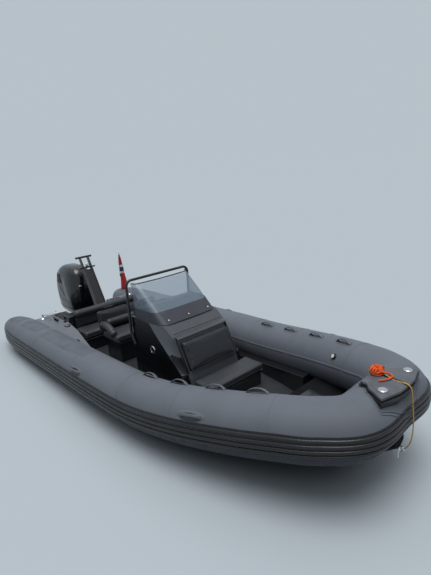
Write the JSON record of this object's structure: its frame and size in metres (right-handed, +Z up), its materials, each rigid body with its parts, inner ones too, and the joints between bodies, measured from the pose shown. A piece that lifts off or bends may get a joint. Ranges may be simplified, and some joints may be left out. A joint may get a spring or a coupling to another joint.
{
  "type": "rigid inflatable boat with outboard engine",
  "caption": "Open rigid inflatable boat afloat: tubes on a vee hull, console with screen and wheel, helm and bench seats, tow mast and an outboard engine.",
  "frame": {"origin": "on the centreline at the waterline, near mid-length", "axes": "+X to the bow, +Y to port, +Z up"},
  "size_m": [5.774, 2.386, 2.066],
  "materials": {
    "tube_fabric": "matte coated fabric",
    "strake_rubber": "matte ribbed rubber",
    "hull_black": "gel coat",
    "deck_grey": "non-slip textured deck",
    "gloss_black": "gloss gel coat",
    "stainless": "polished stainless steel",
    "black_fittings": "satin moulded plastic",
    "vinyl": "grained marine vinyl",
    "smoked_screen": "smoked acrylic",
    "black_rail": "black powder coat",
    "wheel_rim": "soft grip",
    "step_pad": "non-slip textured pad",
    "handle_rubber": "moulded rubber",
    "white_light": "gloss",
    "staff_white": "gloss",
    "flag_red": "woven bunting",
    "engine_metal": "gloss paint",
    "cowl_gloss": "gloss paint",
    "engine_block": "cast",
    "propeller_metal": "gloss paint",
    "rope_yellow": "laid rope",
    "rope_orange": "braided rope"
  },
  "bodies": {
    "root": {"bench_back": "vinyl", "bench_box": "gloss_black", "bench_cushion": "vinyl", "bow_cleats": "stainless", "bow_eye": "stainless", "bow_pad": "step_pad", "bow_pad_base": "gloss_black", "carry_handles": "handle_rubber", "clamp_bracket": "engine_metal", "console": "gloss_black", "console_backrest": "vinyl", "dash": "black_fittings", "deck_fillers": "black_fittings", "flag": "flag_red", "flag_staff": "staff_white", "front_seat_box": "gloss_black", "grab_handles": "handle_rubber", "helm_backrest": "vinyl", "helm_boss": "black_fittings", "helm_seat_box": "gloss_black", "helm_seat_cushion": "vinyl", "hull": "hull_black", "inflation_valves": "black_fittings", "ladder_feet": "stainless", "liner_port": "deck_grey", "liner_starboard": "deck_grey", "locker_hinge": "stainless", "mast_light": "white_light", "painter": "rope_yellow", "painter_knot": "rope_orange", "rub_strake_bow": "strake_rubber", "rub_strake_port": "strake_rubber", "rub_strake_starboard": "strake_rubber", "screen_rail": "black_rail", "sole": "deck_grey", "stern_cleats": "stainless", "stern_deck_port": "gloss_black", "stern_deck_starboard": "gloss_black", "stern_eyes": "stainless", "throttle": "black_fittings", "tilt_ram": "stainless", "tow_mast": "black_rail", "transom": "gloss_black", "tube_bow": "tube_fabric", "tube_port_aft": "tube_fabric", "tube_port_fore": "tube_fabric", "tube_starboard_aft": "tube_fabric", "tube_starboard_fore": "tube_fabric", "windscreen": "smoked_screen"},
    "steering_wheel": {"steering_wheel": "wheel_rim"},
    "engine_tilt": {"swivel_bracket": "engine_metal"},
    "engine": {"cowl": "cowl_gloss", "power_head": "engine_block", "leg": "engine_metal", "gearcase": "engine_metal"},
    "propeller": {"propeller": "propeller_metal"},
    "front_seat_lid": {"front_seat_lid": "gloss_black", "front_seat_cushion": "vinyl"},
    "locker_lid": {"locker_lid": "deck_grey"},
    "boarding_ladder": {"boarding_ladder": "stainless"}
  },
  "joints": [
    {"name": "engine_tilt", "type": "hinge", "parent": "root", "child": "engine_tilt", "pos_m": [-2.405, 0, 0.262], "axis": [0, 1, 0], "range_deg": [0, 16]},
    {"name": "engine_steering", "type": "hinge", "parent": "engine_tilt", "child": "engine", "pos_m": [-2.48, 0, 0.09], "axis": [0, 0, 1], "range_deg": [-30, 30]},
    {"name": "propeller_spin", "type": "hinge", "parent": "engine", "child": "propeller", "pos_m": [-2.905, 0, -0.565], "axis": [1, 0, 0], "continuous": true},
    {"name": "wheel_turn", "type": "hinge", "parent": "root", "child": "steering_wheel", "pos_m": [-0.43, -0.12, 0.8], "axis": [1, 0, 0], "range_deg": [-720, 720]},
    {"name": "front_seat_lid_hinge", "type": "hinge", "parent": "root", "child": "front_seat_lid", "pos_m": [0.9145, 0, 0.3], "axis": [0, 1, 0], "range_deg": [0, 95]},
    {"name": "locker_lid_hinge", "type": "hinge", "parent": "root", "child": "locker_lid", "pos_m": [2.085, 0, 0.392], "axis": [0, 1, 0], "range_deg": [0, 85]},
    {"name": "boarding_ladder_hinge", "type": "hinge", "parent": "root", "child": "boarding_ladder", "pos_m": [-2.398, -0.59, 0.482], "axis": [0, -1, 0], "range_deg": [0, 250]}
  ],
  "couplings": [
    {"joint": "wheel_turn", "follows": "engine_steering", "ratio": 24}
  ]
}
